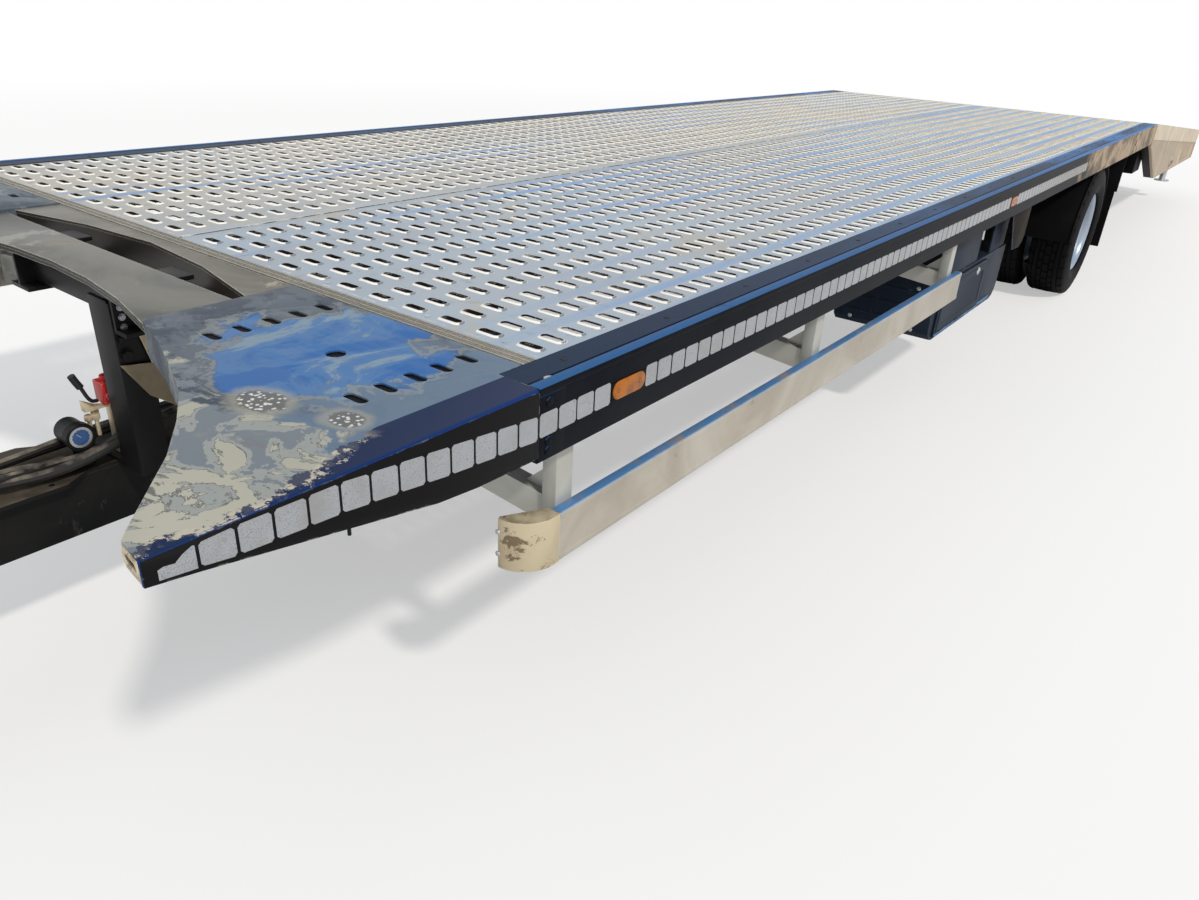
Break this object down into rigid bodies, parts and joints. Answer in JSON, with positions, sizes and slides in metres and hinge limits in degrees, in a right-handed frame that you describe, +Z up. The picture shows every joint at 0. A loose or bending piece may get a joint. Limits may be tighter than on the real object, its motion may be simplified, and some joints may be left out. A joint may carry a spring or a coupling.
{
  "type": "car transporter trailer",
  "caption": "Drawbar trailer for carrying vehicles, with a slotted flat deck, a sloping tail, pull-out ramps, twin wheels, side guards and a jack leg.",
  "frame": {"origin": "on the ground, under the middle of the trailer's length and width", "axes": "+Z up, +Y to the rear along the trailer, +X to its left side; the drawbar points along -Y"},
  "size_m": [2.55, 12.7, 0.95],
  "materials": {
    "galvanised": "worn galvanised",
    "frame_steel": "dark satin paint",
    "rave_paint": "near-black navy satin paint",
    "tail_paint": "dusty tan paint",
    "aluminium": "bright satin",
    "toolbox_plastic": "matt",
    "tyre": "matt",
    "black_plastic": "matt",
    "red_lens": "gloss",
    "valve_red": "satin red",
    "air_spring_rubber": "matt"
  },
  "bodies": {
    "trailer": {"air_spring_left": "air_spring_rubber", "air_spring_right": "air_spring_rubber", "air_tank": "frame_steel", "axle_beam": "frame_steel", "brake_valve": "valve_red", "deck_ladder": "frame_steel", "deck_sheet_left": "galvanised", "deck_sheet_right": "galvanised", "drawbar_beam": "frame_steel", "drawbar_eye": "frame_steel", "drawbar_hanger": "frame_steel", "front_center_plate": "frame_steel", "front_cross_panel": "galvanised", "front_wing_left": "galvanised", "front_wing_right": "galvanised", "jack_tube": "galvanised", "main_beam_left": "frame_steel", "main_beam_right": "frame_steel", "mud_flap_left": "black_plastic", "mud_flap_right": "black_plastic", "mudguard_left": "black_plastic", "mudguard_right": "black_plastic", "pressure_gauge": "frame_steel", "side_guard_left": "aluminium", "side_guard_right": "aluminium", "side_rave_left": "rave_paint", "side_rave_right": "rave_paint", "tail_floor": "galvanised", "tail_ladder": "frame_steel", "tail_lamp_bar": "frame_steel", "tail_lamp_left": "red_lens", "tail_lamp_right": "red_lens", "tail_side_left": "tail_paint", "tail_side_right": "tail_paint", "toolbox_left": "toolbox_plastic", "toolbox_right": "toolbox_plastic"},
    "jack_leg": {"jack_leg": "galvanised"},
    "wheel_left": {"wheel_hub_left": "frame_steel", "twin_rims_left": "aluminium", "tyre_outer_left": "tyre", "tyre_inner_left": "tyre"},
    "ramp_left": {"loading_ramp_left": "aluminium"},
    "rear_leg_left": {"rear_leg_left": "galvanised"},
    "toolbox_door_left": {"toolbox_door_left": "toolbox_plastic"},
    "wheel_right": {"wheel_hub_right": "frame_steel", "twin_rims_right": "aluminium", "tyre_outer_right": "tyre", "tyre_inner_right": "tyre"},
    "ramp_right": {"loading_ramp_right": "aluminium"},
    "rear_leg_right": {"rear_leg_right": "galvanised"},
    "toolbox_door_right": {"toolbox_door_right": "toolbox_plastic"}
  },
  "joints": [
    {"name": "jack_slide", "type": "slide", "parent": "trailer", "child": "jack_leg", "axis": [0, 0, 1], "range_m": [0, 0.28]},
    {"name": "wheel_left_spin", "type": "hinge", "parent": "trailer", "child": "wheel_left", "pos_m": [0.9875, 1.15, 0.3945], "axis": [1, 0, 0], "continuous": true},
    {"name": "ramp_left_slide", "type": "slide", "parent": "trailer", "child": "ramp_left", "axis": [0, 0.9972, -0.0748], "range_m": [0, 1.7]},
    {"name": "rear_leg_left_slide", "type": "slide", "parent": "trailer", "child": "rear_leg_left", "axis": [0, 0, -1], "range_m": [0, 0.16]},
    {"name": "toolbox_door_left_hinge", "type": "hinge", "parent": "trailer", "child": "toolbox_door_left", "pos_m": [1.1853, -1.29, 0.375], "axis": [0, 1, 0], "range_deg": [0, 90]},
    {"name": "wheel_right_spin", "type": "hinge", "parent": "trailer", "child": "wheel_right", "pos_m": [-0.9875, 1.15, 0.3945], "axis": [1, 0, 0], "continuous": true},
    {"name": "ramp_right_slide", "type": "slide", "parent": "trailer", "child": "ramp_right", "axis": [0, 0.9972, -0.0748], "range_m": [0, 1.7]},
    {"name": "rear_leg_right_slide", "type": "slide", "parent": "trailer", "child": "rear_leg_right", "axis": [0, 0, -1], "range_m": [0, 0.16]},
    {"name": "toolbox_door_right_hinge", "type": "hinge", "parent": "trailer", "child": "toolbox_door_right", "pos_m": [-1.1853, -1.29, 0.375], "axis": [0, -1, 0], "range_deg": [0, 90]}
  ]
}
